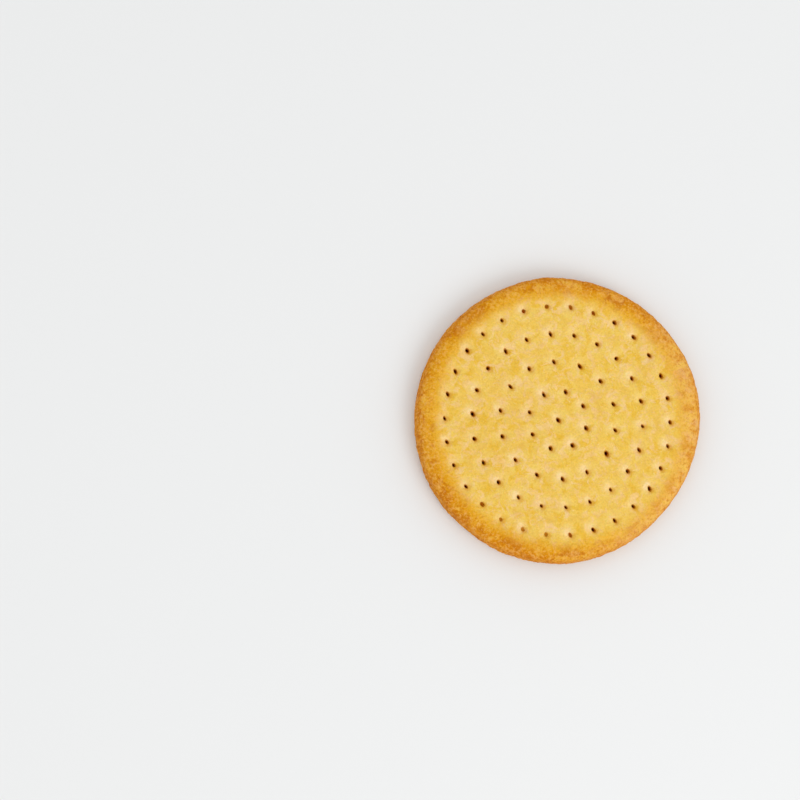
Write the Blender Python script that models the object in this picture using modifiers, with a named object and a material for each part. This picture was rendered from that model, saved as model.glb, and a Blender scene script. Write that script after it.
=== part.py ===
"""Milk biscuit: one thin round baked piece, pricked all over with rings of docker holes.

Metres, +Z up. The biscuit lies flat on its plain underside. The origin is on that underside, at
the middle of the biscuit's bounding box. +X and -Y are the right and the near side of its face.
"""

import math
import random

import bmesh
import bpy
from mathutils import Matrix, Vector, noise

MM = 0.001

# Driving sizes of the baked disc
RADIUS = 32.5 * MM
THICKNESS = 6.0 * MM
SHOULDER_WIDTH = 4.6 * MM
SHOULDER_HEIGHT = 2.5 * MM
SHOULDER_FULLNESS = 2.35
WALL_BULGE = 0.25 * MM
FOOT_ROUNDING = 0.8 * MM

# Docker holes: one in the middle and four rings of evenly spaced ones round it
PATTERN_MIDDLE = (-0.35 * MM, -0.30 * MM)
RING_COUNTS = (8, 14, 22, 30)
RING_RADII = (6.6 * MM, 13.2 * MM, 19.5 * MM, 25.7 * MM)
RING_TURNS = (-15.9, -9.4, -3.5, -0.9)
HOLE_SCATTER = 0.12 * MM
HOLE_TOP_RADIUS = 0.56 * MM
HOLE_EXIT_RADIUS = 0.34 * MM
FUNNEL_RADIUS = 1.9 * MM
FUNNEL_DEPTH = 0.50 * MM
HOLE_SIDES = 8
PIN_TURN = 11.0

# Relief of the baked face
PUFF_HEIGHT = 0.30 * MM
PUFF_REACH = 3.0 * MM
SWELL_HEIGHT = 0.14 * MM
SWELL_LENGTH = 11.0 * MM
RIM_RISE = 0.10 * MM
RIM_RISE_RADIUS = 28.6 * MM
RIM_RISE_WIDTH = 1.5 * MM

# The outline is a little oval, with bulges: direction in degrees, how far it stands out, and half
# its spread in degrees
OVAL_DIRECTION = 27.0
OVAL_STRETCH = 0.30 * MM
OUTLINE_BULGES = (
    (12.0, 0.44 * MM, 22.0),
    (94.0, 0.32 * MM, 10.0),
    (175.0, -0.12 * MM, 40.0),
    (228.0, -0.20 * MM, 12.0),
    (275.0, 0.28 * MM, 12.0),
    (320.0, -0.26 * MM, 14.0),
)
OUTLINE_INNER_RADIUS = 16.0 * MM

# Fineness of the faceted solid
TURN_STEPS = 84
FIELD_RINGS = 15
SHOULDER_STEPS = 6
FOOT_STEPS = 2
MERGE_DISTANCE = 0.01 * MM
SEED = 7

CRUST_COLOUR = (0.84, 0.52, 0.12, 1.0)
CRUST_ROUGHNESS = 0.62


def smooth_step(low, high, value):
    """Rise from 0 at low to 1 at high, level at both ends."""
    share = min(max((value - low) / (high - low), 0.0), 1.0)
    return share * share * (3.0 - 2.0 * share)


def hole_places():
    """Middles of the docker holes on the face, ring by ring, each a little off its true place."""
    rng = random.Random(SEED)
    middle = Vector(PATTERN_MIDDLE)
    places = [middle]
    for count, radius, turn in zip(RING_COUNTS, RING_RADII, RING_TURNS):
        for index in range(count):
            angle = math.radians(turn + index * 360.0 / count)
            place = middle + Vector((radius * math.cos(angle), radius * math.sin(angle)))
            place += Vector((rng.uniform(-1.0, 1.0), rng.uniform(-1.0, 1.0))) * HOLE_SCATTER
            places.append(place)
    return places


def outline_shift(angle):
    """How far the outline stands out from a true circle in one direction, angle in radians."""
    shift = OVAL_STRETCH * math.cos(2.0 * (angle - math.radians(OVAL_DIRECTION)))
    for direction, height, spread in OUTLINE_BULGES:
        turn = math.degrees(angle) - direction
        away = (turn + 180.0) % 360.0 - 180.0
        shift += height * math.exp(-((away / spread) ** 2))
    return shift


def half_section():
    """Half of the disc's section as (radius, height), from the middle of the face to the foot."""
    shoulder_start = RADIUS - WALL_BULGE - SHOULDER_WIDTH
    shoulder_foot = THICKNESS - SHOULDER_HEIGHT
    section = []
    for index in range(FIELD_RINGS):
        section.append((shoulder_start * index / FIELD_RINGS, THICKNESS))
    for index in range(SHOULDER_STEPS + 1):
        turn = math.radians(90.0 * (1.0 - index / SHOULDER_STEPS))
        across = SHOULDER_WIDTH * math.cos(turn) ** (2.0 / SHOULDER_FULLNESS)
        up = SHOULDER_HEIGHT * math.sin(turn) ** (2.0 / SHOULDER_FULLNESS)
        section.append((shoulder_start + across, shoulder_foot + up))
    section.append((RADIUS, shoulder_foot * 0.68))
    section.append((RADIUS - WALL_BULGE * 0.4, FOOT_ROUNDING * 1.7))
    foot_middle = RADIUS - WALL_BULGE - FOOT_ROUNDING
    for index in range(FOOT_STEPS + 1):
        turn = math.radians(90.0 * index / FOOT_STEPS)
        across = FOOT_ROUNDING * math.cos(turn)
        down = FOOT_ROUNDING * math.sin(turn)
        section.append((foot_middle + across, FOOT_ROUNDING - down))
    section.append((foot_middle * 0.5, 0.0))
    section.append((0.0, 0.0))
    return section


def turned_mesh(name, section, steps):
    """Closed mesh of a half section turned round the Z axis."""
    profile = bpy.data.meshes.new(name + "_profile")
    points = [(radius, 0.0, height) for radius, height in section]
    edges = [(index, index + 1) for index in range(len(points) - 1)]
    profile.from_pydata(points, edges, [])
    turner = bpy.data.objects.new(name + "_turner", profile)
    bpy.context.scene.collection.objects.link(turner)
    screw = turner.modifiers.new("Turn", "SCREW")
    screw.axis = "Z"
    screw.angle = 2.0 * math.pi
    screw.steps = steps
    screw.render_steps = steps
    screw.use_merge_vertices = True
    screw.merge_threshold = MERGE_DISTANCE
    evaluated = turner.evaluated_get(bpy.context.evaluated_depsgraph_get())
    mesh = bpy.data.meshes.new_from_object(evaluated)
    mesh.name = name
    bpy.data.objects.remove(turner)
    bpy.data.meshes.remove(profile)
    return mesh


def face_relief(x, y, holes):
    """Height that baking added to the face at one place: puffs between holes and slow swells."""
    nearest = min(math.hypot(x - hole.x, y - hole.y) for hole in holes)
    radius = math.hypot(x, y)
    puff = PUFF_HEIGHT * (smooth_step(0.0, PUFF_REACH, nearest) - 1.0)
    swell = SWELL_HEIGHT * noise.noise(Vector((x, y, 0.0)) / SWELL_LENGTH)
    rise = RIM_RISE * math.exp(-(((radius - RIM_RISE_RADIUS) / RIM_RISE_WIDTH) ** 2))
    return puff + swell + rise


def bake_unevenness(mesh, holes):
    """Push the turned disc out of true, as its baking does."""
    shaped = bmesh.new()
    shaped.from_mesh(mesh)
    for vert in shaped.verts:
        x, y, z = vert.co
        radius = math.hypot(x, y)
        face_share = smooth_step(THICKNESS - SHOULDER_HEIGHT, THICKNESS, z)
        z += face_share * face_relief(x, y, holes)
        if radius > OUTLINE_INNER_RADIUS:
            share = smooth_step(OUTLINE_INNER_RADIUS, RADIUS, radius)
            grown = 1.0 + share * outline_shift(math.atan2(y, x)) / radius
            x *= grown
            y *= grown
        vert.co = (x, y, z)
    bmesh.ops.triangulate(shaped, faces=shaped.faces)
    shaped.to_mesh(mesh)
    shaped.free()


def box_middle(mesh):
    """Middle of a mesh's bounding box, as seen from above."""
    across = [vert.co.x for vert in mesh.vertices]
    along = [vert.co.y for vert in mesh.vertices]
    return Vector(((min(across) + max(across)) / 2.0, (min(along) + max(along)) / 2.0, 0.0))


def crust_material():
    """Pale golden baked crust."""
    material = bpy.data.materials.new("baked_crust")
    material.use_nodes = True
    shader = material.node_tree.nodes["Principled BSDF"]
    shader.inputs["Base Color"].default_value = CRUST_COLOUR
    shader.inputs["Roughness"].default_value = CRUST_ROUGHNESS
    shader.inputs["Metallic"].default_value = 0.0
    return material


def docker_pins(holes, middle, collection):
    """Pins that leave the holes: a wide funnel where the dough sank, then a slim tapered shaft."""
    pin_top = FUNNEL_DEPTH * 0.3
    pin_foot = -THICKNESS - pin_top
    section = [
        (0.0, pin_top),
        (FUNNEL_RADIUS, pin_top),
        (HOLE_TOP_RADIUS, -FUNNEL_DEPTH),
        (HOLE_EXIT_RADIUS, pin_foot),
        (0.0, pin_foot),
    ]
    pin_mesh = turned_mesh("docker_pin", section, HOLE_SIDES)
    for index, hole in enumerate(holes):
        pin = bpy.data.objects.new(f"docker_pin_{index:02d}", pin_mesh)
        surface = THICKNESS + face_relief(hole.x, hole.y, holes)
        pin.location = Vector((hole.x, hole.y, surface)) - middle
        pin.rotation_euler.z = math.radians(PIN_TURN)
        pin.hide_render = True
        pin.display_type = "WIRE"
        collection.objects.link(pin)


def biscuit(mesh, collection, pins):
    """The whole biscuit: the uneven baked disc with every docker hole cut through it."""
    mesh.materials.clear()
    mesh.materials.append(crust_material())
    mesh.shade_smooth()
    piece = bpy.data.objects.new("biscuit", mesh)
    collection.objects.link(piece)
    prick = piece.modifiers.new("Docker holes", "BOOLEAN")
    prick.operation = "DIFFERENCE"
    prick.operand_type = "COLLECTION"
    prick.collection = pins
    prick.solver = "EXACT"


def main():
    """Clear the scene, bake the disc, set it over the origin and prick it."""
    for item in list(bpy.data.objects):
        bpy.data.objects.remove(item)
    parts = bpy.data.collections.new("milk_biscuit")
    pins = bpy.data.collections.new("docker_pins")
    bpy.context.scene.collection.children.link(parts)
    bpy.context.scene.collection.children.link(pins)
    holes = hole_places()
    disc = turned_mesh("biscuit", half_section(), TURN_STEPS)
    bake_unevenness(disc, holes)
    middle = box_middle(disc)
    disc.transform(Matrix.Translation(-middle))
    docker_pins(holes, middle, pins)
    biscuit(disc, parts, pins)


main()
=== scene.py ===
"""Milk biscuit: the looks of one round docked biscuit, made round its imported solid.

The biscuit is one piece. A fine disc is made in mesh code, and a Geometry Nodes tree bakes it out of
true and pricks its docker holes. One crust material gives it the pale gold face, the browner rim,
the dry side wall and the evenly baked underside. Lengths are in metres, +Z is up out of the face.
"""

from __future__ import annotations

import logging
import math
from dataclasses import dataclass, field, fields
from enum import Enum
from typing import Any

import bpy
from mathutils import Matrix, Vector

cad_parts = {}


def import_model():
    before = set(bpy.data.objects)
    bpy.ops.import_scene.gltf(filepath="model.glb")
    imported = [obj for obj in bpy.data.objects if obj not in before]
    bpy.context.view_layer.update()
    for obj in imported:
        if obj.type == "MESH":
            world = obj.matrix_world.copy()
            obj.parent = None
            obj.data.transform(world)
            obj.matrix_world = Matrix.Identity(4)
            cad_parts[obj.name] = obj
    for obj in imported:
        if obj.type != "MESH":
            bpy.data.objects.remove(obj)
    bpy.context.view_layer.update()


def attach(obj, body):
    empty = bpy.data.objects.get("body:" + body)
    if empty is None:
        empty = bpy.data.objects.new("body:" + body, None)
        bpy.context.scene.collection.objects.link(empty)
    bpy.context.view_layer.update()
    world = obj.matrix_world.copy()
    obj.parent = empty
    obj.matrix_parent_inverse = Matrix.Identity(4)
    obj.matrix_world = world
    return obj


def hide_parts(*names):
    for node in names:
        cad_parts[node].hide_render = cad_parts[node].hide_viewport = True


MM = 0.001
LOG = logging.getLogger("milk_biscuit")

# The node kinds that the trees use most
MATH = "ShaderNodeMath"
VECTOR_MATH = "ShaderNodeVectorMath"
MAP_RANGE = "ShaderNodeMapRange"
NOISE = "ShaderNodeTexNoise"

# Times this, a place is brought down to the ground plane
FLATTENED = (1.0, 1.0, 0.0)

Links = dict[str | int, Any]


class Side(Enum):
    """The three kinds of surface that the disc has, by where they lie."""

    FACE = "face"
    WALL = "wall"
    UNDERSIDE = "underside"


class Guide(Enum):
    """What a layer of colour can follow: a noise, a mark stored near a hole, or a region."""

    SLOW = "slow"
    PATCH = "patch"
    BLUSH = "blush"
    FINE = "fine"
    DUST = "dust"
    CRUMB = "crumb"
    CREASE = "crease"
    HOLE = "hole_mark"
    HALO = "halo_mark"
    LIP = "lip_mark"
    TONE = "tone_mark"
    DEPTH = "depth_mark"
    PALENESS = "paleness"
    PALE_SIDE = "pale_side"
    BAKED = "baked"
    RIM = "rim"
    PALE_RIM = "pale_rim"
    WALL = "wall"
    BELOW = "below"


def linear(hex_colour: str) -> tuple[float, float, float, float]:
    """Turn an sRGB hex colour to the linear values that Blender's sockets hold.

    Args:
        hex_colour: six hex digits after a hash sign, such as "#F0C864".

    Returns:
        Red, green, blue and an alpha of 1, linear.
    """
    channels = (int(hex_colour[start:start + 2], 16) / 255.0 for start in (1, 3, 5))
    red, green, blue = (c / 12.92 if c <= 0.04045 else ((c + 0.055) / 1.055) ** 2.4 for c in channels)
    return red, green, blue, 1.0


def add_node(tree: bpy.types.NodeTree, kind: str, inputs: Links | None = None,
             out: str | int = 0, **settings: Any) -> Any:
    """Add one node to a tree, set it up and fill or link its inputs.

    Args:
        tree: the node tree that the node goes into.
        kind: Blender's type name of the node.
        inputs: socket name or number to a value, an output socket, or a list of output sockets.
        out: name or number of the output socket to hand back.
        settings: the node's own properties.

    Returns:
        The named output socket, or the node itself where it has no outputs.
    """
    node = tree.nodes.new(kind)
    for name, value in settings.items():
        setattr(node, name, value)
    for key, value in (inputs or {}).items():
        for item in value if isinstance(value, list) else [value]:
            if isinstance(item, bpy.types.NodeSocket):
                tree.links.new(item, node.inputs[key])
            else:
                node.inputs[key].default_value = item
    return node.outputs[out] if len(node.outputs) else node


def placed(name: str, data: bpy.types.ID) -> bpy.types.Object:
    """Put a mesh, a lamp or a camera into the scene as an object at the origin.

    Args:
        name: the object's name.
        data: what it shows.

    Returns:
        The object.
    """
    item = bpy.data.objects.new(name, data)
    bpy.context.scene.collection.objects.link(item)
    return item


@dataclass(frozen=True)
class RingRule:
    """One ring of evenly spaced docker holes."""

    holes: int
    radius: float
    turn: float


@dataclass(frozen=True)
class Bulge:
    """One place where the outline stands out or in: direction and half spread in degrees."""

    direction: float
    height: float
    spread: float


@dataclass(frozen=True)
class Closing:
    """One side where the dough rose over the outer holes: direction and half spread in degrees."""

    direction: float
    share: float
    spread: float


@dataclass
class BakedDisc:
    """The plain disc before baking relief and docker holes, as a fine and even mesh."""

    radius: float = 32.5 * MM
    thickness: float = 6.0 * MM
    shoulder_width: float = 4.6 * MM
    shoulder_height: float = 2.5 * MM
    shoulder_fullness: float = 2.35
    wall_bulge: float = 0.25 * MM
    foot_rounding: float = 0.8 * MM
    oval_direction: float = 27.0
    oval_stretch: float = 0.30 * MM
    bulges: tuple[Bulge, ...] = (
        Bulge(12.0, 0.44 * MM, 22.0),
        Bulge(94.0, 0.32 * MM, 10.0),
        Bulge(175.0, -0.12 * MM, 40.0),
        Bulge(228.0, -0.20 * MM, 12.0),
        Bulge(275.0, 0.28 * MM, 12.0),
        Bulge(320.0, -0.26 * MM, 14.0),
    )
    outline_inner_radius: float = 16.0 * MM
    face_facet: float = 0.27 * MM
    underside_facet: float = 0.62 * MM
    section_steps: int = 96
    points_per_ring: int = 6
    middle: Vector = field(default_factory=Vector)

    def outline_shift(self, angle: float) -> float:
        """How far the outline stands out from a circle in one direction.

        Args:
            angle: the direction in radians.

        Returns:
            The distance, less than zero where the outline lies further in.
        """
        shift = self.oval_stretch * math.cos(2.0 * (angle - math.radians(self.oval_direction)))
        for bulge in self.bulges:
            away = (math.degrees(angle) - bulge.direction + 180.0) % 360.0 - 180.0
            shift += bulge.height * math.exp(-((away / bulge.spread) ** 2))
        return shift

    def section(self) -> list[tuple[float, float]]:
        """Half of the rim's section, from the shoulder's inner edge down to the underside.

        Returns:
            Points as (radius, height), spaced by about the face's facet.
        """
        start = self.radius - self.wall_bulge - self.shoulder_width
        shoulder_foot = self.thickness - self.shoulder_height
        steps = self.section_steps
        outline = []
        for index in range(steps + 1):
            turn = math.radians(90.0 * (1.0 - index / steps))
            across = self.shoulder_width * math.cos(turn) ** (2.0 / self.shoulder_fullness)
            up = self.shoulder_height * math.sin(turn) ** (2.0 / self.shoulder_fullness)
            outline.append((start + across, shoulder_foot + up))
        for index in range(1, steps):
            share = index / steps
            height = shoulder_foot + (self.foot_rounding - shoulder_foot) * share
            outline.append((self.radius - self.wall_bulge * (2.0 * share - 1.0) ** 2, height))
        foot_middle = self.radius - self.wall_bulge - self.foot_rounding
        for index in range(steps + 1):
            turn = math.radians(90.0 * index / steps)
            across = self.foot_rounding * math.cos(turn)
            down = self.foot_rounding * math.sin(turn)
            outline.append((foot_middle + across, self.foot_rounding - down))
        points = [outline[0]]
        for point in outline[1:]:
            if math.dist(point, points[-1]) >= self.face_facet:
                points.append(point)
        points[-1] = outline[-1]
        return points

    def rings(self) -> list[tuple[float, float, int]]:
        """All rings of the disc's mesh from the middle of the face to that of the underside.

        Returns:
            Radius, height and number of points of each ring.
        """
        rim = self.section()
        face_rings = round(rim[0][0] / self.face_facet)
        rings = [(0.0, self.thickness, 1)]
        for index in range(1, face_rings):
            count = self.points_per_ring * index
            rings.append((rim[0][0] * index / face_rings, self.thickness, count))
        for radius, height in rim:
            count = round(self.points_per_ring * face_rings * radius / rim[0][0])
            rings.append((radius, height, count))
        underside_rings = round(rim[-1][0] / self.underside_facet)
        for index in range(underside_rings - 1, 0, -1):
            rings.append((rim[-1][0] * index / underside_rings, 0.0, self.points_per_ring * index))
        rings.append((0.0, 0.0, 1))
        return rings

    @staticmethod
    def zipped(first: range, second: range) -> list[tuple[int, int, int]]:
        """Close the gap between two rings of points with triangles.

        Args:
            first: point numbers of the upper ring.
            second: point numbers of the lower ring.

        Returns:
            Triangles that face outwards.
        """
        faces = []
        near, far = 0, 0
        near_end = len(first) if len(first) > 1 else 0
        far_end = len(second) if len(second) > 1 else 0
        while near < near_end or far < far_end:
            near_turn = (near + 0.5) / len(first) if near < near_end else 2.0
            far_turn = (far + 0.5) / len(second) if far < far_end else 2.0
            here = first[near % len(first)]
            there = second[far % len(second)]
            if near_turn < far_turn:
                near += 1
                faces.append((here, there, first[near % len(first)]))
            else:
                far += 1
                faces.append((here, there, second[far % len(second)]))
        return faces

    def build(self) -> bpy.types.Object:
        """Make the disc with its uneven outline, its bounding box set over the origin.

        Returns:
            The disc as an object in the scene.
        """
        points: list[tuple[float, float, float]] = []
        faces: list[tuple[int, int, int]] = []
        before = range(0)
        for radius, height, count in self.rings():
            share = self.outline_share(radius)
            for index in range(count):
                angle = 2.0 * math.pi * index / count
                reach = radius + share * self.outline_shift(angle)
                points.append((reach * math.cos(angle), reach * math.sin(angle), height))
            ring = range(len(points) - count, len(points))
            if before:
                faces += self.zipped(before, ring)
            before = ring
        across = [point[0] for point in points]
        along = [point[1] for point in points]
        self.middle = Vector(((min(across) + max(across)) / 2.0, (min(along) + max(along)) / 2.0, 0.0))
        mesh = bpy.data.meshes.new("biscuit_disc")
        mesh.from_pydata(points, [], faces)
        mesh.transform(Matrix.Translation(-self.middle))
        return placed("biscuit_disc", mesh)

    def outline_share(self, radius: float) -> float:
        """How much of the outline's unevenness reaches one radius.

        Args:
            radius: distance from the disc's middle.

        Returns:
            The share, from 0 to 1.
        """
        share = (radius - self.outline_inner_radius) / (self.radius - self.outline_inner_radius)
        share = min(max(share, 0.0), 1.0)
        return share * share * (3.0 - 2.0 * share)


@dataclass
class DockerPattern:
    """The docker holes and the baked relief, as one Geometry Nodes tree over the plain disc."""

    pattern_middle: tuple[float, float] = (-0.35 * MM, -0.30 * MM)
    rings: tuple[RingRule, ...] = (
        RingRule(8, 6.6 * MM, -15.9),
        RingRule(14, 13.2 * MM, -9.4),
        RingRule(22, 19.5 * MM, -3.5),
        RingRule(30, 25.7 * MM, -0.9),
    )
    # The holes at the face and at the exit, drawn out one way, and how unlike one another they are: the
    # lean and the twist in radians, and the smallest and largest size as shares of the usual one
    hole_scatter: float = 0.12 * MM
    hole_radius: float = 0.25 * MM
    exit_radius: float = 0.20 * MM
    hole_stretch: float = 1.44
    hole_direction: float = math.radians(-59.0)
    hole_reach: float = 1.1 * MM
    middle_size: float = 1.14
    rim_size: float = 0.98
    hole_lean: tuple[float, float] = (0.04, 0.2)
    hole_smallest: tuple[float, float, float] = (0.82, 0.82, 1.0)
    hole_largest: tuple[float, float, float] = (1.18, 1.20, 1.0)
    ragged_depth: float = 0.16 * MM
    ragged_spacing: float = 0.6 * MM
    pin_spare: float = 0.45 * MM
    pin_sides: int = 18
    pin_steps: int = 9
    # Outer holes that the dough closed again, and the blind pits that are left of them
    closings: tuple[Closing, ...] = (
        Closing(251.0, 1.0, 44.0),
        Closing(89.0, 0.72, 38.0),
    )
    closing_start: float = 20.5 * MM
    blind_from: float = 0.4
    pit_length: float = 0.60 * MM
    pit_width: float = 0.47 * MM
    pit_deepest: float = 1.6 * MM
    pit_shallowest: float = 0.52 * MM
    pit_lift: float = 0.4
    pit_rounds: int = 3
    # The lip and the dimple at each hole, and where the pale halo and the toasted spot lie beside it. The
    # halo is partly a painted highlight on the dimple slope facing the lamp, the spot partly painted shade
    lip_flare: float = 0.15 * MM
    lip_depth: float = 0.28 * MM
    dimple_depth: float = 0.36 * MM
    dimple_radius: float = 1.7 * MM
    halo_offset: tuple[float, float] = (-0.74 * MM, 0.52 * MM)
    lip_offset: tuple[float, float] = (0.30 * MM, -0.26 * MM)
    # Relief of the face, then of the wall and of the underside, and the length of its marks
    puff_height: float = 0.24 * MM
    puff_reach: float = 3.1 * MM
    swell_height: float = 0.28 * MM
    swell_spacing: float = 11.0 * MM
    lump_height: float = 0.14 * MM
    lump_spacing: float = 2.4 * MM
    grain_height: float = 0.06 * MM
    grain_spacing: float = 0.75 * MM
    wall_depth: float = 0.40 * MM
    wall_spacing: float = 2.2 * MM
    wall_flatness: float = 2.2
    wall_detail: float = 3.0
    wall_roughness: float = 0.8
    wall_levels: tuple[float, float] = (0.3, 0.7)
    wall_swing: tuple[float, float] = (0.16, -0.84)
    foot_reach: float = 0.9 * MM
    underside_depth: float = 0.14 * MM
    underside_levels: tuple[float, float] = (0.5, 0.75)
    underside_reach: float = 0.02 * MM
    seed: int = 7

    def sockets(self, disc: BakedDisc, crust: bpy.types.Material) -> dict[str, tuple[str, Any]]:
        """Every named input of the tree with its kind and value.

        Args:
            disc: the disc whose heights the relief follows.
            crust: the material of the whole biscuit.

        Returns:
            Input name to socket kind and value.
        """
        middle = Vector((*self.pattern_middle, 0.0)) - disc.middle
        rows: dict[str, tuple[str, Any]] = {
            "Face Height": ("Float", disc.thickness),
            "Shoulder Foot": ("Float", disc.thickness - disc.shoulder_height),
            "Pattern Middle": ("Vector", tuple(middle)),
            "Halo Offset": ("Vector", (*self.halo_offset, 0.0)),
            "Lip Offset": ("Vector", (*self.lip_offset, 0.0)),
            "Seed": ("Int", self.seed),
            "Crust": ("Material", crust),
        }
        for size in fields(self):
            value = getattr(self, size.name)
            if isinstance(value, float):
                rows[size.name.replace("_", " ").title()] = ("Float", value)
        for mark in ("Swell", "Lump", "Grain", "Ragged", "Wall"):
            rows[f"{mark} Marks per Metre"] = ("Float", 1.0 / rows.pop(f"{mark} Spacing")[1])
        for number, closing in enumerate(self.closings, start=1):
            turn = math.radians(closing.direction)
            rows[f"Closing {number} Way"] = ("Vector", (math.cos(turn), math.sin(turn), 0.0))
            rows[f"Closing {number} Share"] = ("Float", closing.share)
            rows[f"Closing {number} Edge"] = ("Float", math.cos(math.radians(closing.spread)))
        for number, ring in enumerate(self.rings, start=1):
            rows[f"Ring {number} Holes"] = ("Int", ring.holes)
            rows[f"Ring {number} Radius"] = ("Float", ring.radius)
            rows[f"Ring {number} Turn"] = ("Float", math.radians(ring.turn))
        return rows

    def hole_points(self, tree: bpy.types.NodeTree, given: Any) -> Any:
        """Points at the holes' middles, flat on the ground plane, each a little off its true place.

        Args:
            tree: the tree being built.
            given: the group's inputs.

        Returns:
            The geometry socket of the points.
        """
        circles = [add_node(tree, "GeometryNodeMeshLine", {"Count": 1})]
        for number in range(1, len(self.rings) + 1):
            circle = add_node(tree, "GeometryNodeMeshCircle", {
                "Vertices": given[f"Ring {number} Holes"], "Radius": given[f"Ring {number} Radius"]})
            turn = add_node(tree, "ShaderNodeCombineXYZ", {"Z": given[f"Ring {number} Turn"]})
            circles.append(add_node(tree, "GeometryNodeTransform", {"Geometry": circle, "Rotation": turn}))
        rings = add_node(tree, "GeometryNodeJoinGeometry", {"Geometry": circles})
        points = add_node(tree, "GeometryNodeMeshToPoints", {"Mesh": rings})
        stray = add_node(tree, "FunctionNodeRandomValue", {
            "Min": (-1.0, -1.0, 0.0), "Max": (1.0, 1.0, 0.0), "Seed": given["Seed"]},
            data_type="FLOAT_VECTOR")
        offset = add_node(tree, VECTOR_MATH, {0: stray, "Scale": given["Hole Scatter"]}, operation="SCALE")
        moved = add_node(tree, VECTOR_MATH, {0: offset, 1: given["Pattern Middle"]}, operation="ADD")
        return add_node(tree, "GeometryNodeSetPosition", {"Geometry": points, "Offset": moved})

    def face_relief(self, tree: bpy.types.NodeTree, given: Any, points: Any) -> Any:
        """Height that baking adds to the face: puffs, dimples round the holes, swells and grain.

        Args:
            tree: the tree being built.
            given: the group's inputs.
            points: the holes' middles.

        Returns:
            The height as a field.
        """
        place = add_node(tree, "GeometryNodeInputPosition")
        flat = add_node(tree, VECTOR_MATH, {0: place, 1: FLATTENED}, operation="MULTIPLY")
        nearest = add_node(tree, "GeometryNodeProximity", {"Geometry": points, "Sample Position": flat},
                           out="Distance", target_element="POINTS")
        parts = []
        for reach, height in (("Puff Reach", "Puff Height"), ("Dimple Radius", "Dimple Depth")):
            sunk = add_node(tree, MAP_RANGE, {
                "Value": nearest, "From Max": given[reach], "To Min": -1.0, "To Max": 0.0},
                interpolation_type="SMOOTHSTEP")
            parts.append((sunk, given[height]))
        for mark, detail in (("Swell", 0.0), ("Lump", 1.0), ("Grain", 2.0)):
            noise = add_node(tree, NOISE, {
                "Vector": flat, "W": given["Seed"], "Scale": given[f"{mark} Marks per Metre"],
                "Detail": detail}, noise_dimensions="4D")
            level = add_node(tree, MATH, {0: noise, 1: -0.5}, operation="ADD")
            parts.append((level, given[f"{mark} Height"]))
        total = None
        for level, height in parts:
            total = add_node(tree, MATH, {0: level, 1: height, 2: total or 0.0}, operation="MULTIPLY_ADD")
        return total

    def baked(self, tree: bpy.types.NodeTree, given: Any, relief: Any) -> Any:
        """The disc with its face relief, its rough side wall and the shallow pits below.

        Args:
            tree: the tree being built.
            given: the group's inputs.
            relief: the height that baking adds to the face.

        Returns:
            The geometry socket of the baked disc.
        """
        place = add_node(tree, "GeometryNodeInputPosition")
        height = add_node(tree, "ShaderNodeSeparateXYZ", {0: place}, out="Z")
        shares = {
            Side.FACE: add_node(tree, MAP_RANGE, {
                "Value": height, "From Min": given["Shoulder Foot"], "From Max": given["Face Height"]},
                interpolation_type="SMOOTHSTEP"),
            Side.UNDERSIDE: add_node(tree, MATH, {0: height, 1: given["Underside Reach"]},
                                     operation="LESS_THAN"),
        }
        off_face = add_node(tree, MATH, {0: 1.0, 1: shares[Side.FACE]}, operation="SUBTRACT")
        off_foot = add_node(tree, MAP_RANGE, {"Value": height, "From Max": given["Foot Reach"]},
                            interpolation_type="SMOOTHSTEP")
        shares[Side.WALL] = add_node(tree, MATH, {0: off_face, 1: off_foot}, operation="MULTIPLY")
        lift = add_node(tree, MATH, {0: relief, 1: shares[Side.FACE]}, operation="MULTIPLY")
        flat = add_node(tree, VECTOR_MATH, {0: place, 1: FLATTENED}, operation="MULTIPLY")
        outward = add_node(tree, VECTOR_MATH, {0: flat}, operation="NORMALIZE")
        squash = add_node(tree, "ShaderNodeCombineXYZ", {
            "X": 1.0, "Y": 1.0, "Z": given["Wall Flatness"]})
        marks = add_node(tree, VECTOR_MATH, {0: place, 1: squash}, operation="MULTIPLY")
        rough = add_node(tree, NOISE, {
            "Vector": marks, "W": given["Seed"], "Scale": given["Wall Marks per Metre"],
            "Detail": given["Wall Detail"], "Roughness": given["Wall Roughness"]},
            noise_dimensions="4D")
        dent = add_node(tree, MAP_RANGE, {
            "Value": rough, "From Min": self.wall_levels[0], "From Max": self.wall_levels[1],
            "To Min": self.wall_swing[0], "To Max": self.wall_swing[1]})
        deep = add_node(tree, MATH, {0: dent, 1: given["Wall Depth"]}, operation="MULTIPLY")
        inward = add_node(tree, MATH, {0: deep, 1: shares[Side.WALL]}, operation="MULTIPLY")
        push = add_node(tree, VECTOR_MATH, {0: outward, "Scale": inward}, operation="SCALE")
        pit = add_node(tree, MAP_RANGE, {
            "Value": rough, "From Min": self.underside_levels[0], "From Max": self.underside_levels[1]})
        below = add_node(tree, MATH, {0: pit, 1: shares[Side.UNDERSIDE]}, operation="MULTIPLY")
        rise = add_node(tree, MATH, {0: below, 1: given["Underside Depth"], 2: lift},
                        operation="MULTIPLY_ADD")
        up = add_node(tree, "ShaderNodeCombineXYZ", {"Z": rise})
        offset = add_node(tree, VECTOR_MATH, {0: push, 1: up}, operation="ADD")
        return add_node(tree, "GeometryNodeSetPosition", {"Geometry": given["Disc"], "Offset": offset})

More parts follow.
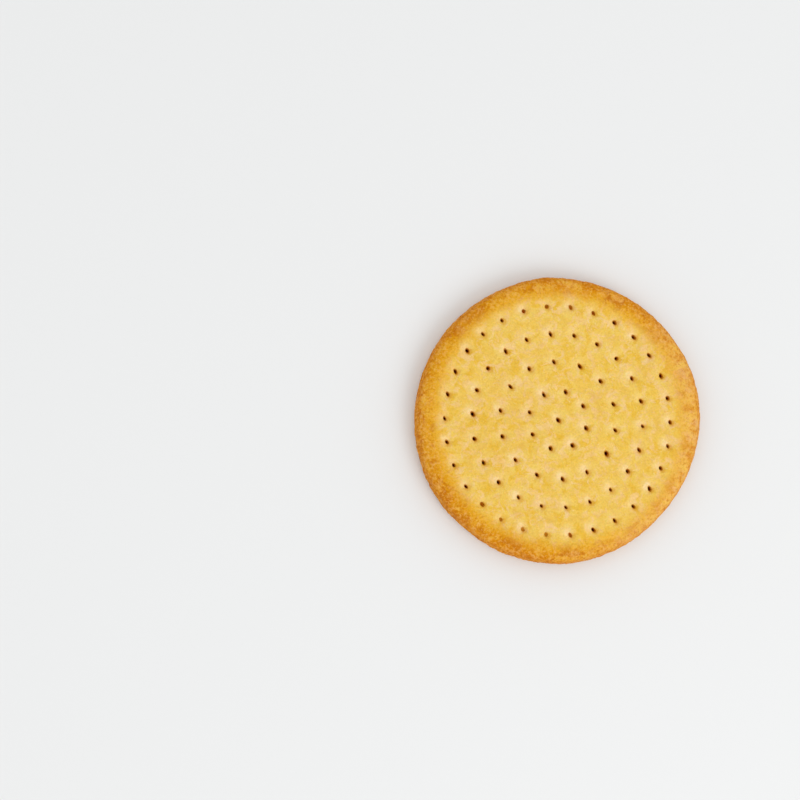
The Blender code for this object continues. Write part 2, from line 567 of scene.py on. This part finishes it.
    def pin(self, tree: bpy.types.NodeTree, given: Any) -> Any:
        """One docker pin of unit size across: a slim tapered shaft that flares to a lip above.

        Args:
            tree: the tree being built.
            given: the group's inputs.

        Returns:
            The geometry socket of the pin, its face level at zero height.
        """
        blank = add_node(tree, "GeometryNodeMeshCylinder", {
            "Vertices": self.pin_sides, "Side Segments": self.pin_steps, "Radius": 1.0, "Depth": 1.0})
        place = add_node(tree, "GeometryNodeInputPosition")
        blank_height = add_node(tree, "ShaderNodeSeparateXYZ", {0: place}, out="Z")
        down = add_node(tree, MATH, {0: 0.5, 1: blank_height}, operation="SUBTRACT")
        eased = add_node(tree, MATH, {0: down, 1: 2.0}, operation="POWER")
        length = add_node(tree, MATH, {
            0: given["Pin Spare"], 1: 2.0, 2: given["Face Height"]}, operation="MULTIPLY_ADD")
        dropped = add_node(tree, MATH, {0: eased, 1: length}, operation="MULTIPLY")
        level = add_node(tree, MATH, {0: given["Pin Spare"], 1: dropped}, operation="SUBTRACT")
        shaft = add_node(tree, MAP_RANGE, {
            "Value": eased, "To Min": given["Hole Radius"], "To Max": given["Exit Radius"]})
        pace = add_node(tree, MATH, {0: level, 1: given["Lip Depth"]}, operation="DIVIDE")
        capped = add_node(tree, MATH, {0: pace, 1: 1.0}, operation="MINIMUM")
        steep = add_node(tree, MATH, {0: capped}, operation="EXPONENT")
        radius = add_node(tree, MATH, {0: steep, 1: given["Lip Flare"], 2: shaft}, operation="MULTIPLY_ADD")
        spread = add_node(tree, VECTOR_MATH, {0: place, "Scale": radius}, operation="SCALE")
        sideways = add_node(tree, VECTOR_MATH, {0: spread, 1: FLATTENED}, operation="MULTIPLY")
        height = add_node(tree, "ShaderNodeCombineXYZ", {"Z": level})
        shaped = add_node(tree, VECTOR_MATH, {0: sideways, 1: height}, operation="ADD")
        return add_node(tree, "GeometryNodeSetPosition", {"Geometry": blank, "Position": shaped})

    def closed(self, tree: bpy.types.NodeTree, given: Any) -> Any:
        """How far the dough rose over a hole again while it baked, from 0 to 1.

        Args:
            tree: the tree being built.
            given: the group's inputs.

        Returns:
            The share as a field.
        """
        place = add_node(tree, "GeometryNodeInputPosition")
        away = add_node(tree, VECTOR_MATH, {0: place}, out="Value", operation="LENGTH")
        outer = add_node(tree, MAP_RANGE, {
            "Value": away, "From Min": given["Closing Start"], "From Max": given["Ring 4 Radius"]})
        heading_out = add_node(tree, VECTOR_MATH, {0: place}, operation="NORMALIZE")
        closed: Any = 0.0
        for number in range(1, len(self.closings) + 1):
            towards = add_node(tree, VECTOR_MATH, {
                0: heading_out, 1: given[f"Closing {number} Way"]}, out="Value", operation="DOT_PRODUCT")
            shut = add_node(tree, MAP_RANGE, {
                "Value": towards, "From Min": given[f"Closing {number} Edge"],
                "To Max": given[f"Closing {number} Share"]}, interpolation_type="SMOOTHSTEP")
            closed = add_node(tree, MATH, {0: shut, 1: outer, 2: closed}, operation="MULTIPLY_ADD")
        return closed

    def pins(self, tree: bpy.types.NodeTree, given: Any, points: Any, relief: Any) -> Any:
        """The docker pins that leave the holes, one at each point, real and a little unlike.

        Where the dough rose again, a rounded blob takes the pin's place and leaves a blind pit.

        Args:
            tree: the tree being built.
            given: the group's inputs.
            points: the holes' middles.
            relief: the height that baking adds to the face.

        Returns:
            The geometry socket of the pins, their instances realized.
        """
        place = add_node(tree, "GeometryNodeInputPosition")
        away = add_node(tree, VECTOR_MATH, {0: place}, out="Value", operation="LENGTH")
        surface = add_node(tree, MATH, {0: relief, 1: given["Face Height"]}, operation="ADD")
        seat = add_node(tree, "ShaderNodeCombineXYZ", {"Z": surface})
        seated = add_node(tree, "GeometryNodeSetPosition", {"Geometry": points, "Offset": seat})
        tilt, twist = self.hole_lean
        lean = add_node(tree, "FunctionNodeRandomValue", {
            "Min": (-tilt, -tilt, -twist), "Max": (tilt, tilt, twist), "Seed": given["Seed"]},
            data_type="FLOAT_VECTOR")
        heading = add_node(tree, "ShaderNodeCombineXYZ", {"Z": given["Hole Direction"]})
        turn = add_node(tree, VECTOR_MATH, {0: lean, 1: heading}, operation="ADD")
        grown = add_node(tree, "FunctionNodeRandomValue", {
            "Min": self.hole_smallest, "Max": self.hole_largest, "Seed": given["Seed"]},
            data_type="FLOAT_VECTOR")
        open_size = add_node(tree, MAP_RANGE, {
            "Value": away, "From Max": given["Ring 4 Radius"], "To Min": given["Middle Size"],
            "To Max": given["Rim Size"]})
        long = add_node(tree, MATH, {0: open_size, 1: given["Hole Stretch"]}, operation="MULTIPLY")
        closed = self.closed(tree, given)
        blind = add_node(tree, MATH, {0: closed, 1: given["Blind From"]}, operation="GREATER_THAN")
        through = add_node(tree, MATH, {0: 1.0, 1: blind}, operation="SUBTRACT")
        pit_depth = add_node(tree, MAP_RANGE, {
            "Value": closed, "From Min": given["Blind From"], "To Min": given["Pit Deepest"],
            "To Max": given["Pit Shallowest"]})
        ball = add_node(tree, "GeometryNodeMeshIcoSphere", {"Radius": 1.0, "Subdivisions": self.pit_rounds})
        lifted = add_node(tree, "ShaderNodeCombineXYZ", {"Z": given["Pit Lift"]})
        blob = add_node(tree, "GeometryNodeTransform", {"Geometry": ball, "Translation": lifted})
        kinds = (
            (self.pin(tree, given), through, {"X": long, "Y": open_size, "Z": 1.0}),
            (blob, blind, {"X": given["Pit Length"], "Y": given["Pit Width"], "Z": pit_depth}),
        )
        copies = []
        for shape, wanted, sizes in kinds:
            size = add_node(tree, "ShaderNodeCombineXYZ", sizes)
            scale = add_node(tree, VECTOR_MATH, {0: grown, 1: size}, operation="MULTIPLY")
            copies.append(add_node(tree, "GeometryNodeInstanceOnPoints", {
                "Points": seated, "Selection": wanted, "Instance": shape, "Rotation": turn,
                "Scale": scale}))
        joined = add_node(tree, "GeometryNodeJoinGeometry", {"Geometry": copies})
        real = add_node(tree, "GeometryNodeRealizeInstances", {"Geometry": joined})
        ragged = add_node(tree, NOISE, {
            "Vector": place, "Scale": given["Ragged Marks per Metre"]}, out="Color")
        centred = add_node(tree, VECTOR_MATH, {0: ragged, 1: (-0.5, -0.5, -0.5)}, operation="ADD")
        nudge = add_node(tree, VECTOR_MATH, {0: centred, "Scale": given["Ragged Depth"]}, operation="SCALE")
        return add_node(tree, "GeometryNodeSetPosition", {"Geometry": real, "Offset": nudge})

    def tree(self, rows: dict[str, tuple[str, Any]]) -> bpy.types.NodeTree:
        """Build the whole tree: bake the disc, prick it, and mark how far each point is from a hole.

        Args:
            rows: the named inputs with their kinds and values.

        Returns:
            The Geometry Nodes group.
        """
        tree = bpy.data.node_groups.new("Docked biscuit", "GeometryNodeTree")
        tree.interface.new_socket("Disc", in_out="INPUT", socket_type="NodeSocketGeometry")
        for name, (kind, _) in rows.items():
            tree.interface.new_socket(name, in_out="INPUT", socket_type=f"NodeSocket{kind}")
        tree.interface.new_socket("Biscuit", in_out="OUTPUT", socket_type="NodeSocketGeometry")
        given = add_node(tree, "NodeGroupInput").node.outputs
        points = self.hole_points(tree, given)
        relief = self.face_relief(tree, given, points)
        baked = self.baked(tree, given, relief)
        pins = self.pins(tree, given, points, relief)
        pricked = add_node(tree, "GeometryNodeMeshBoolean", {"Mesh 1": baked, "Mesh 2": pins},
                           operation="DIFFERENCE", solver="MANIFOLD")
        place = add_node(tree, "GeometryNodeInputPosition")
        flat = add_node(tree, VECTOR_MATH, {0: place, 1: FLATTENED}, operation="MULTIPLY")
        which = add_node(tree, "GeometryNodeSampleNearest", {"Geometry": points, "Sample Position": flat})
        marks = {Guide.TONE: add_node(tree, "FunctionNodeRandomValue", {
            "ID": which, "Seed": given["Seed"]}, out=1, data_type="FLOAT")}
        # Distance to each hole, to the halo with its painted highlight, and to the lip's painted shade
        for mark, offset in ((Guide.HOLE, (0.0, 0.0, 0.0)), (Guide.HALO, given["Halo Offset"]),
                             (Guide.LIP, given["Lip Offset"])):
            spot = add_node(tree, VECTOR_MATH, {0: flat, 1: offset}, operation="SUBTRACT")
            marks[mark] = add_node(tree, "GeometryNodeProximity", {
                "Geometry": points, "Sample Position": spot}, out="Distance", target_element="POINTS")
        # How far a point by a hole lies below the face, for the hole's browner colour and its painted shade
        surface = add_node(tree, MATH, {0: relief, 1: given["Face Height"]}, operation="ADD")
        height = add_node(tree, "ShaderNodeSeparateXYZ", {0: place}, out="Z")
        sunk = add_node(tree, MATH, {0: surface, 1: height}, operation="SUBTRACT")
        by_hole = add_node(tree, MATH, {0: marks[Guide.HOLE], 1: given["Hole Reach"]}, operation="LESS_THAN")
        marks[Guide.DEPTH] = add_node(tree, MATH, {0: sunk, 1: by_hole}, operation="MULTIPLY")
        marked = pricked
        for mark, value in marks.items():
            marked = add_node(tree, "GeometryNodeStoreNamedAttribute", {
                "Geometry": marked, "Name": mark.value, "Value": value},
                data_type="FLOAT", domain="POINT")
        real = add_node(tree, "GeometryNodeRealizeInstances", {"Geometry": marked})
        smooth = add_node(tree, "GeometryNodeSetShadeSmooth", {"Geometry": real})
        dressed = add_node(tree, "GeometryNodeSetMaterial", {
            "Geometry": smooth, "Material": given["Crust"]})
        add_node(tree, "NodeGroupOutput", {"Biscuit": dressed})
        return tree

    def prick(self, disc: BakedDisc, blank: bpy.types.Object, crust: bpy.types.Material) -> bpy.types.Object:
        """Run the tree on the plain disc and keep the result as a plain mesh.

        Args:
            disc: the sizes of the disc.
            blank: the disc's object, which is used up.
            crust: the material of the whole biscuit.

        Returns:
            The finished biscuit, its object at the origin.
        """
        rows = self.sockets(disc, crust)
        modifier = blank.modifiers.new("Docker", "NODES")
        modifier.node_group = self.tree(rows)
        for item in modifier.node_group.interface.items_tree:
            if item.in_out == "INPUT" and item.name in rows:
                modifier[item.identifier] = rows[item.name][1]
        evaluated = blank.evaluated_get(bpy.context.evaluated_depsgraph_get())
        mesh = bpy.data.meshes.new_from_object(evaluated)
        mesh.name = "biscuit_crust"
        blank.modifiers.remove(modifier)
        bpy.data.objects.remove(blank)
        return placed("biscuit_crust", mesh)


@dataclass(frozen=True)
class Cloud:
    """One noise that breaks up the crust: the size of its marks and how rough they are."""

    size: float
    detail: float = 2.0
    roughness: float = 0.55
    distortion: float = 0.0
    form: str = "FBM"


@dataclass(frozen=True)
class Layer:
    """One colour laid over those before it, rising from nothing at low to its most at high."""

    where: Guide
    low: float
    high: float
    most: float
    colour: str
    kept_to: Guide | None = None


@dataclass(frozen=True)
class BakedCrust:
    """Baked wheat dough: a dry matt crust, pale and buttery where it sank, golden where it rose.

    The rim stands out of the tray's shelter and bakes browner, in crumbs; its side towards the lamp is
    painted lighter and its far side painted darker, as painted light and shade. The side wall is golden
    brown with pale crumbs, and painted paler on the lamp's side. Round each docker hole the dough stays
    pale, and a pale patch set towards the upper left is partly a painted highlight on the dimple slope
    that faces the lamp. Its lip is toasted, and the toasted spot set towards the lower right is partly
    painted shade on the slope that faces away. The underside took its even brown from the hot tray,
    with paler spots where it lifted off.
    """

    roughness: float = 0.6
    ior: float = 1.45
    specular: float = 0.05
    # Dry dough lets a little light in, and its bump has pores, dust, creases and crumbs
    roughness_swing: float = 0.08
    subsurface: float = 0.10
    subsurface_reach: tuple[float, float, float] = (1.0, 0.45, 0.15)
    subsurface_depth: float = 0.35 * MM
    bump_strength: float = 0.9
    bump_depth: float = 0.22 * MM
    crease_share: float = 0.5
    dust_share: float = 0.4
    crumb_share: float = 0.9
    dust_levels: tuple[float, float] = (0.25, 0.75)
    dust_shades: tuple[float, float] = (0.93, 1.07)
    pore_levels: tuple[float, float] = (0.3, 0.7)
    # Where the rim, its paler side, the wall and the underside begin, and how ragged their edges are;
    # the paler side is painted light, the rim and wall lighter towards the lamp
    pale_side: float = -15.0
    lit_reach: tuple[float, float] = (0.18, 0.95)
    bake_middle: tuple[float, float] = (-0.14 * MM, -0.24 * MM)
    bake_direction: float = 60.0
    bake_oval: float = 0.013
    ragged: float = 4.0 * MM
    drift: float = 2.4 * MM
    rim_start: float = 26.8 * MM
    rim_end: float = 30.2 * MM
    rim_least: float = 0.12
    halo_ragged: float = 2.4 * MM
    halo_strengths: tuple[float, float] = (0.05, 0.80)
    lip_ragged: float = 0.8 * MM
    wall_top: float = 5.9 * MM
    wall_full: float = 4.8 * MM
    wall_ragged: float = 0.9 * MM
    wall_inset: tuple[float, float] = (2.8 * MM, 1.8 * MM)
    below_reach: tuple[float, float] = (0.6 * MM, 0.1 * MM)
    # Marks at their real sizes: the slow drift of the oven's heat, blisters, paler blushes, fine pores,
    # flour dust, crumbs of the rim and wall, and creases. Real flour dust is finer than 0.1 mm, too fine
    # for a pixel of 0.22 mm, so it is drawn as coarse as it needs to show.
    clouds: tuple[tuple[Guide, Cloud], ...] = (
        (Guide.SLOW, Cloud(13.0 * MM, 1.0)),
        (Guide.PATCH, Cloud(3.4 * MM, 4.0, 0.66, 0.6)),
        (Guide.BLUSH, Cloud(2.2 * MM, 3.0, 0.70, 0.8)),
        (Guide.FINE, Cloud(0.80 * MM, 3.0, 0.72)),
        (Guide.DUST, Cloud(0.42 * MM, 1.0, 0.6)),
        (Guide.CRUMB, Cloud(0.60 * MM, 2.0, 0.62, 0.4)),
        (Guide.CREASE, Cloud(3.0 * MM, 3.0, 0.6, 0.5, "RIDGED_MULTIFRACTAL")),
    )
    base: str = "#E9C662"
    # Face, then the browner rim with painted light on its lamp side and painted shade on its far side,
    # the wall with painted light on its lamp side, the holes with painted highlight and shade, and the
    # underside
    layers: tuple[Layer, ...] = (
        Layer(Guide.PATCH, 0.46, 0.64, 0.90, "#E0B438"),
        Layer(Guide.BLUSH, 0.48, 0.65, 0.95, "#EDCA8C"),
        Layer(Guide.HOLE, 2.2 * MM, 3.2 * MM, 0.30, "#E2B43A"),
        Layer(Guide.FINE, 0.62, 0.72, 0.40, "#F4DEAC"),
        # Pale halo by each hole: partly paler dough, partly painted highlight on the lamp-facing slope
        Layer(Guide.HALO, 2.1 * MM, 0.7 * MM, 0.7, "#EED092", Guide.PALENESS),
        Layer(Guide.HALO, 1.0 * MM, 0.4 * MM, 0.6, "#F8E2B8", Guide.PALENESS),
        Layer(Guide.BAKED, 24.6 * MM, 28.2 * MM, 0.35, "#E4AE2E"),
        Layer(Guide.BAKED, 27.1 * MM, 29.8 * MM, 1.0, "#DFA41A"),
        Layer(Guide.BAKED, 28.6 * MM, 30.9 * MM, 1.0, "#D68E08"),
        Layer(Guide.BAKED, 30.2 * MM, 32.8 * MM, 0.8, "#CC7C0E"),
        # Painted light: the rim lighter on its side towards the lamp
        Layer(Guide.PALE_RIM, 0.0, 1.0, 0.84, "#E4B05C"),
        Layer(Guide.SLOW, 0.52, 0.40, 0.55, "#CC7E10", Guide.RIM),
        Layer(Guide.SLOW, 0.50, 0.62, 0.50, "#E8B03C", Guide.RIM),
        # Painted shade: the rim browner and darker on its side away from the lamp
        Layer(Guide.PALE_SIDE, 0.0, -0.8, 0.34, "#D29004", Guide.RIM),
        Layer(Guide.PATCH, 0.50, 0.36, 0.90, "#BE6E0C", Guide.RIM),
        Layer(Guide.PATCH, 0.52, 0.64, 0.60, "#E8B440", Guide.RIM),
        Layer(Guide.BLUSH, 0.52, 0.66, 0.62, "#E3A650", Guide.RIM),
        # Mottling within the rim's painted light
        Layer(Guide.BLUSH, 0.48, 0.61, 0.44, "#E2AC78", Guide.PALE_RIM),
        Layer(Guide.PATCH, 0.52, 0.42, 0.60, "#DC982A", Guide.PALE_RIM),
        Layer(Guide.PATCH, 0.53, 0.63, 0.50, "#EABD56", Guide.PALE_RIM),
        Layer(Guide.CRUMB, 0.50, 0.66, 0.40, "#EDBA6C", Guide.RIM),
        Layer(Guide.CRUMB, 0.48, 0.32, 0.47, "#B8640E", Guide.RIM),
        Layer(Guide.WALL, 0.0, 1.0, 0.75, "#D08014"),
        # Painted light: the wall paler on its side towards the lamp
        Layer(Guide.PALE_SIDE, 0.22, 0.95, 0.40, "#E0A458", Guide.WALL),
        Layer(Guide.BLUSH, 0.50, 0.68, 0.40, "#DA9A44", Guide.WALL),
        Layer(Guide.PATCH, 0.48, 0.36, 0.35, "#B8661A", Guide.WALL),
        Layer(Guide.CRUMB, 0.50, 0.64, 0.42, "#E4AA5E", Guide.WALL),
        Layer(Guide.CRUMB, 0.49, 0.34, 0.50, "#9C561A", Guide.WALL),
        Layer(Guide.FINE, 0.36, 0.26, 0.35, "#B9802A"),
        # Toasted lip towards the lower right: partly toasted dough, partly painted shade of the hole's slope
        Layer(Guide.LIP, 1.05 * MM, 0.40 * MM, 0.46, "#D08C08"),
        # Browner and redder deeper in each hole: partly toasted wall, partly painted shade of the hole
        Layer(Guide.DEPTH, 0.02 * MM, 0.24 * MM, 0.85, "#BC7606"),
        Layer(Guide.DEPTH, 0.40 * MM, 0.90 * MM, 1.0, "#C46206"),
        Layer(Guide.BELOW, 0.0, 1.0, 1.0, "#CE963E"),
        Layer(Guide.SLOW, 0.56, 0.40, 0.55, "#BA7E2A", Guide.BELOW),
        Layer(Guide.PATCH, 0.46, 0.64, 0.60, "#DDB062", Guide.BELOW),
        Layer(Guide.BLUSH, 0.52, 0.66, 0.45, "#E4BE80", Guide.BELOW),
        Layer(Guide.PATCH, 0.48, 0.36, 0.50, "#B0722A", Guide.BELOW),
        Layer(Guide.CRUMB, 0.46, 0.34, 0.45, "#9A621E", Guide.BELOW),
        Layer(Guide.HOLE, 0.90 * MM, 0.35 * MM, 0.50, "#A8661E", Guide.BELOW),
    )

    def guides(self, tree: bpy.types.NodeTree, disc: BakedDisc) -> dict[Guide, Any]:
        """Everything that the layers can follow, each as one output socket.

        Args:
            tree: the material's node tree.
            disc: the sizes that place the rim, the wall and the underside.

        Returns:
            Each guide's socket.
        """
        place = add_node(tree, "ShaderNodeTexCoord", out="Object")
        found = {guide: add_node(tree, NOISE, {
            "Vector": place, "Scale": 1.0 / cloud.size, "Detail": cloud.detail,
            "Roughness": cloud.roughness, "Distortion": cloud.distortion}, noise_type=cloud.form)
            for guide, cloud in self.clouds}
        for mark in (Guide.HOLE, Guide.HALO, Guide.LIP, Guide.TONE, Guide.DEPTH):
            found[mark] = add_node(tree, "ShaderNodeAttribute", out="Fac", attribute_name=mark.value)
        for mark, noise, reach in ((Guide.HALO, Guide.BLUSH, self.halo_ragged),
                                   (Guide.LIP, Guide.FINE, self.lip_ragged)):
            frayed = add_node(tree, MATH, {0: found[noise], 1: reach, 2: found[mark]},
                              operation="MULTIPLY_ADD")
            found[mark] = add_node(tree, MATH, {0: frayed, 1: reach / 2.0}, operation="SUBTRACT")
        found[Guide.PALENESS] = add_node(tree, MAP_RANGE, {
            "Value": found[Guide.TONE], "To Min": self.halo_strengths[0], "To Max": self.halo_strengths[1]})
        height = add_node(tree, "ShaderNodeSeparateXYZ", {0: place}, out="Z")
        flat = add_node(tree, VECTOR_MATH, {0: place, 1: FLATTENED}, operation="MULTIPLY")
        radius = add_node(tree, VECTOR_MATH, {0: flat}, out="Value", operation="LENGTH")
        # How far each point lies towards the lamp, for the painted light and shade of rim and wall
        turn = math.radians(self.pale_side)
        towards = (math.cos(turn) / disc.radius, math.sin(turn) / disc.radius, 0.0)
        found[Guide.PALE_SIDE] = add_node(tree, VECTOR_MATH, {0: place, 1: towards}, out="Value",
                                      operation="DOT_PRODUCT")
        from_middle = add_node(tree, "ShaderNodeMapping", {
            "Vector": flat, "Location": (*self.bake_middle, 0.0),
            "Rotation": (0.0, 0.0, math.radians(self.bake_direction)),
            "Scale": (1.0 - self.bake_oval, 1.0 + self.bake_oval, 1.0)}, vector_type="TEXTURE")
        baked = add_node(tree, VECTOR_MATH, {0: from_middle}, out="Value", operation="LENGTH")
        for noise, reach in ((Guide.PATCH, self.ragged), (Guide.SLOW, self.drift)):
            baked = add_node(tree, MATH, {0: found[noise], 1: reach, 2: baked}, operation="MULTIPLY_ADD")
        found[Guide.BAKED] = add_node(tree, MATH, {0: baked, 1: (self.ragged + self.drift) / 2.0},
                                  operation="SUBTRACT")
        found[Guide.RIM] = add_node(tree, MAP_RANGE, {
            "Value": found[Guide.BAKED], "From Min": self.rim_start, "From Max": self.rim_end,
            "To Min": self.rim_least})
        pale = add_node(tree, MAP_RANGE, {
            "Value": found[Guide.PALE_SIDE], "From Min": self.lit_reach[0], "From Max": self.lit_reach[1]},
            interpolation_type="SMOOTHSTEP")
        found[Guide.PALE_RIM] = add_node(tree, MATH, {0: pale, 1: found[Guide.RIM]}, operation="MULTIPLY")
        ragged_height = add_node(tree, MATH, {
            0: found[Guide.FINE], 1: self.wall_ragged, 2: height}, operation="MULTIPLY_ADD")
        down_wall = add_node(tree, MAP_RANGE, {
            "Value": ragged_height, "From Min": self.wall_top, "From Max": self.wall_full})
        at_edge = add_node(tree, MAP_RANGE, {
            "Value": radius, "From Min": disc.radius - self.wall_inset[0],
            "From Max": disc.radius - self.wall_inset[1]})
        found[Guide.WALL] = add_node(tree, MATH, {0: down_wall, 1: at_edge}, operation="MULTIPLY")
        found[Guide.BELOW] = add_node(tree, MAP_RANGE, {
            "Value": height, "From Min": self.below_reach[0], "From Max": self.below_reach[1]})
        return found

    def build(self, disc: BakedDisc) -> bpy.types.Material:
        """Make the crust as one material that tells face, rim, wall and underside apart.

        Args:
            disc: the sizes that place the rim, the wall and the underside.

        Returns:
            The material.
        """
        material = bpy.data.materials.new("baked_dough_crust")
        material.use_nodes = True
        tree = material.node_tree
        tree.nodes.clear()
        found = self.guides(tree, disc)
        colour: Any = linear(self.base)
        for layer in self.layers:
            share = add_node(tree, MAP_RANGE, {
                "Value": found[layer.where], "From Min": layer.low, "From Max": layer.high,
                "To Max": layer.most}, interpolation_type="SMOOTHSTEP")
            if layer.kept_to:
                share = add_node(tree, MATH, {0: share, 1: found[layer.kept_to]}, operation="MULTIPLY")
            colour = add_node(tree, "ShaderNodeMix", {0: share, 6: colour, 7: linear(layer.colour)},
                              out=2, data_type="RGBA")
        shade = add_node(tree, MAP_RANGE, {
            "Value": found[Guide.DUST], "From Min": self.dust_levels[0], "From Max": self.dust_levels[1],
            "To Min": self.dust_shades[0], "To Max": self.dust_shades[1]})
        mottled = add_node(tree, "ShaderNodeMix", {0: 1.0, 6: colour, 7: shade}, out=2, data_type="RGBA",
                           blend_type="MULTIPLY")
        creased = add_node(tree, MATH, {
            0: found[Guide.CREASE], 1: self.crease_share, 2: found[Guide.FINE]}, operation="MULTIPLY_ADD")
        relief = add_node(tree, MATH, {
            0: found[Guide.DUST], 1: self.dust_share, 2: creased}, operation="MULTIPLY_ADD")
        crusty = add_node(tree, MATH, {0: found[Guide.CRUMB], 1: found[Guide.RIM]}, operation="MULTIPLY")
        height = add_node(tree, MATH, {0: crusty, 1: self.crumb_share, 2: relief}, operation="MULTIPLY_ADD")
        normal = add_node(tree, "ShaderNodeBump", {
            "Strength": self.bump_strength, "Distance": self.bump_depth, "Height": height})
        rough = add_node(tree, MAP_RANGE, {
            "Value": found[Guide.FINE], "From Min": self.pore_levels[0], "From Max": self.pore_levels[1],
            "To Min": self.roughness - self.roughness_swing,
            "To Max": self.roughness + self.roughness_swing})
        surface = add_node(tree, "ShaderNodeBsdfPrincipled", {
            "Base Color": mottled, "Roughness": rough, "IOR": self.ior,
            "Specular IOR Level": self.specular, "Normal": normal,
            "Subsurface Weight": self.subsurface, "Subsurface Radius": self.subsurface_reach,
            "Subsurface Scale": self.subsurface_depth})
        add_node(tree, "ShaderNodeOutputMaterial", {"Surface": surface})
        return material


@dataclass(frozen=True)
class PaleTable:
    """A wide, plain, near-white matt floor."""

    colour: str = "#E4E5E5"
    roughness: float = 0.7
    width: float = 12.0
    height: float = -0.02 * MM

    def build(self) -> bpy.types.Object:
        """Make the floor.

        Returns:
            The floor.
        """
        half = self.width / 2.0
        mesh = bpy.data.meshes.new("table")
        sides = ((-half, -half), (half, -half), (half, half), (-half, half))
        mesh.from_pydata([(x, y, self.height) for x, y in sides], [], [(0, 1, 2, 3)])
        material = bpy.data.materials.new("pale_table")
        material.use_nodes = True
        shader = material.node_tree.nodes["Principled BSDF"]
        shader.inputs["Base Color"].default_value = linear(self.colour)
        shader.inputs["Roughness"].default_value = self.roughness
        mesh.materials.append(material)
        table = placed("table", mesh)
        return table


@dataclass(frozen=True)
class SoftLight:
    """One large soft lamp and an even white surround: degrees, metres and watts."""

    heading: float = -50.0
    elevation: float = 45.0
    distance: float = 0.9
    size: float = 0.5
    power: float = 2.0
    surround: float = 0.95
    white: tuple[float, float, float, float] = (1.0, 1.0, 1.0, 1.0)

    def build(self) -> None:
        """Make the lamp, aimed at the biscuit, and the surround."""
        turn, rise = math.radians(self.heading), math.radians(self.elevation)
        away = Vector((math.cos(turn) * math.cos(rise), math.sin(turn) * math.cos(rise), math.sin(rise)))
        data = bpy.data.lights.new("window_light", "AREA")
        data.shape = "SQUARE"
        data.size = self.size
        data.energy = self.power
        lamp = placed("window_light", data)
        lamp.location = away * self.distance
        lamp.rotation_euler = away.to_track_quat("Z", "Y").to_euler()
        world = bpy.data.worlds.new("white_room")
        world.use_nodes = True
        background = world.node_tree.nodes["Background"]
        background.inputs["Color"].default_value = self.white
        background.inputs["Strength"].default_value = self.surround
        bpy.context.scene.world = world


@dataclass(frozen=True)
class PhotoCamera:
    """The photograph's view: nearly from above, leaning some degrees towards its near left side."""

    frame_px: float = 800.0
    middle_px: tuple[float, float] = (558.8, 420.0)
    px_per_mm: float = 4.467
    distance_px: float = 1600.0
    lean: tuple[float, float] = (6.1, 5.0)
    sensor: float = 36.0
    nearest: float = 0.01

    def build(self, target: Vector) -> bpy.types.Object:
        """Make the scene's camera.

        Args:
            target: the middle of the hole rings on the face, which shows at middle_px.

        Returns:
            The camera.
        """
        metres = MM / self.px_per_mm
        half = self.frame_px / 2.0
        seen = Vector((self.middle_px[0] - half, half - self.middle_px[1], -self.distance_px)) * metres
        lean_x, lean_y = (math.radians(part) for part in self.lean)
        turn = Matrix.Rotation(math.hypot(lean_x, lean_y), 4, Vector((-lean_y, lean_x, 0.0)))
        data = bpy.data.cameras.new("photo_camera")
        data.sensor_width = self.sensor
        data.lens = self.sensor * self.distance_px / self.frame_px
        data.clip_start = self.nearest
        camera = placed("photo_camera", data)
        camera.matrix_world = Matrix.Translation(target) @ turn.inverted() @ Matrix.Translation(-seen)
        bpy.context.scene.camera = camera
        return camera


def main() -> None:
    """Load the frame, make the biscuit round it, and set the stage."""
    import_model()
    # Plain sRGB without a film curve, so that the hex colours show as they are
    bpy.context.scene.view_settings.view_transform = "Standard"
    disc = BakedDisc()
    pattern = DockerPattern()
    crust = BakedCrust().build(disc)
    blank = disc.build()
    biscuit = pattern.prick(disc, blank, crust)
    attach(biscuit, "root")
    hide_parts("biscuit")
    LOG.info("%s: %d faces", biscuit.name, len(biscuit.data.polygons))
    PaleTable().build()
    SoftLight().build()
    ring_middle = Vector((*pattern.pattern_middle, disc.thickness)) - disc.middle
    PhotoCamera().build(ring_middle)


if __name__ == "__main__":
    logging.basicConfig(level=logging.INFO)
    main()
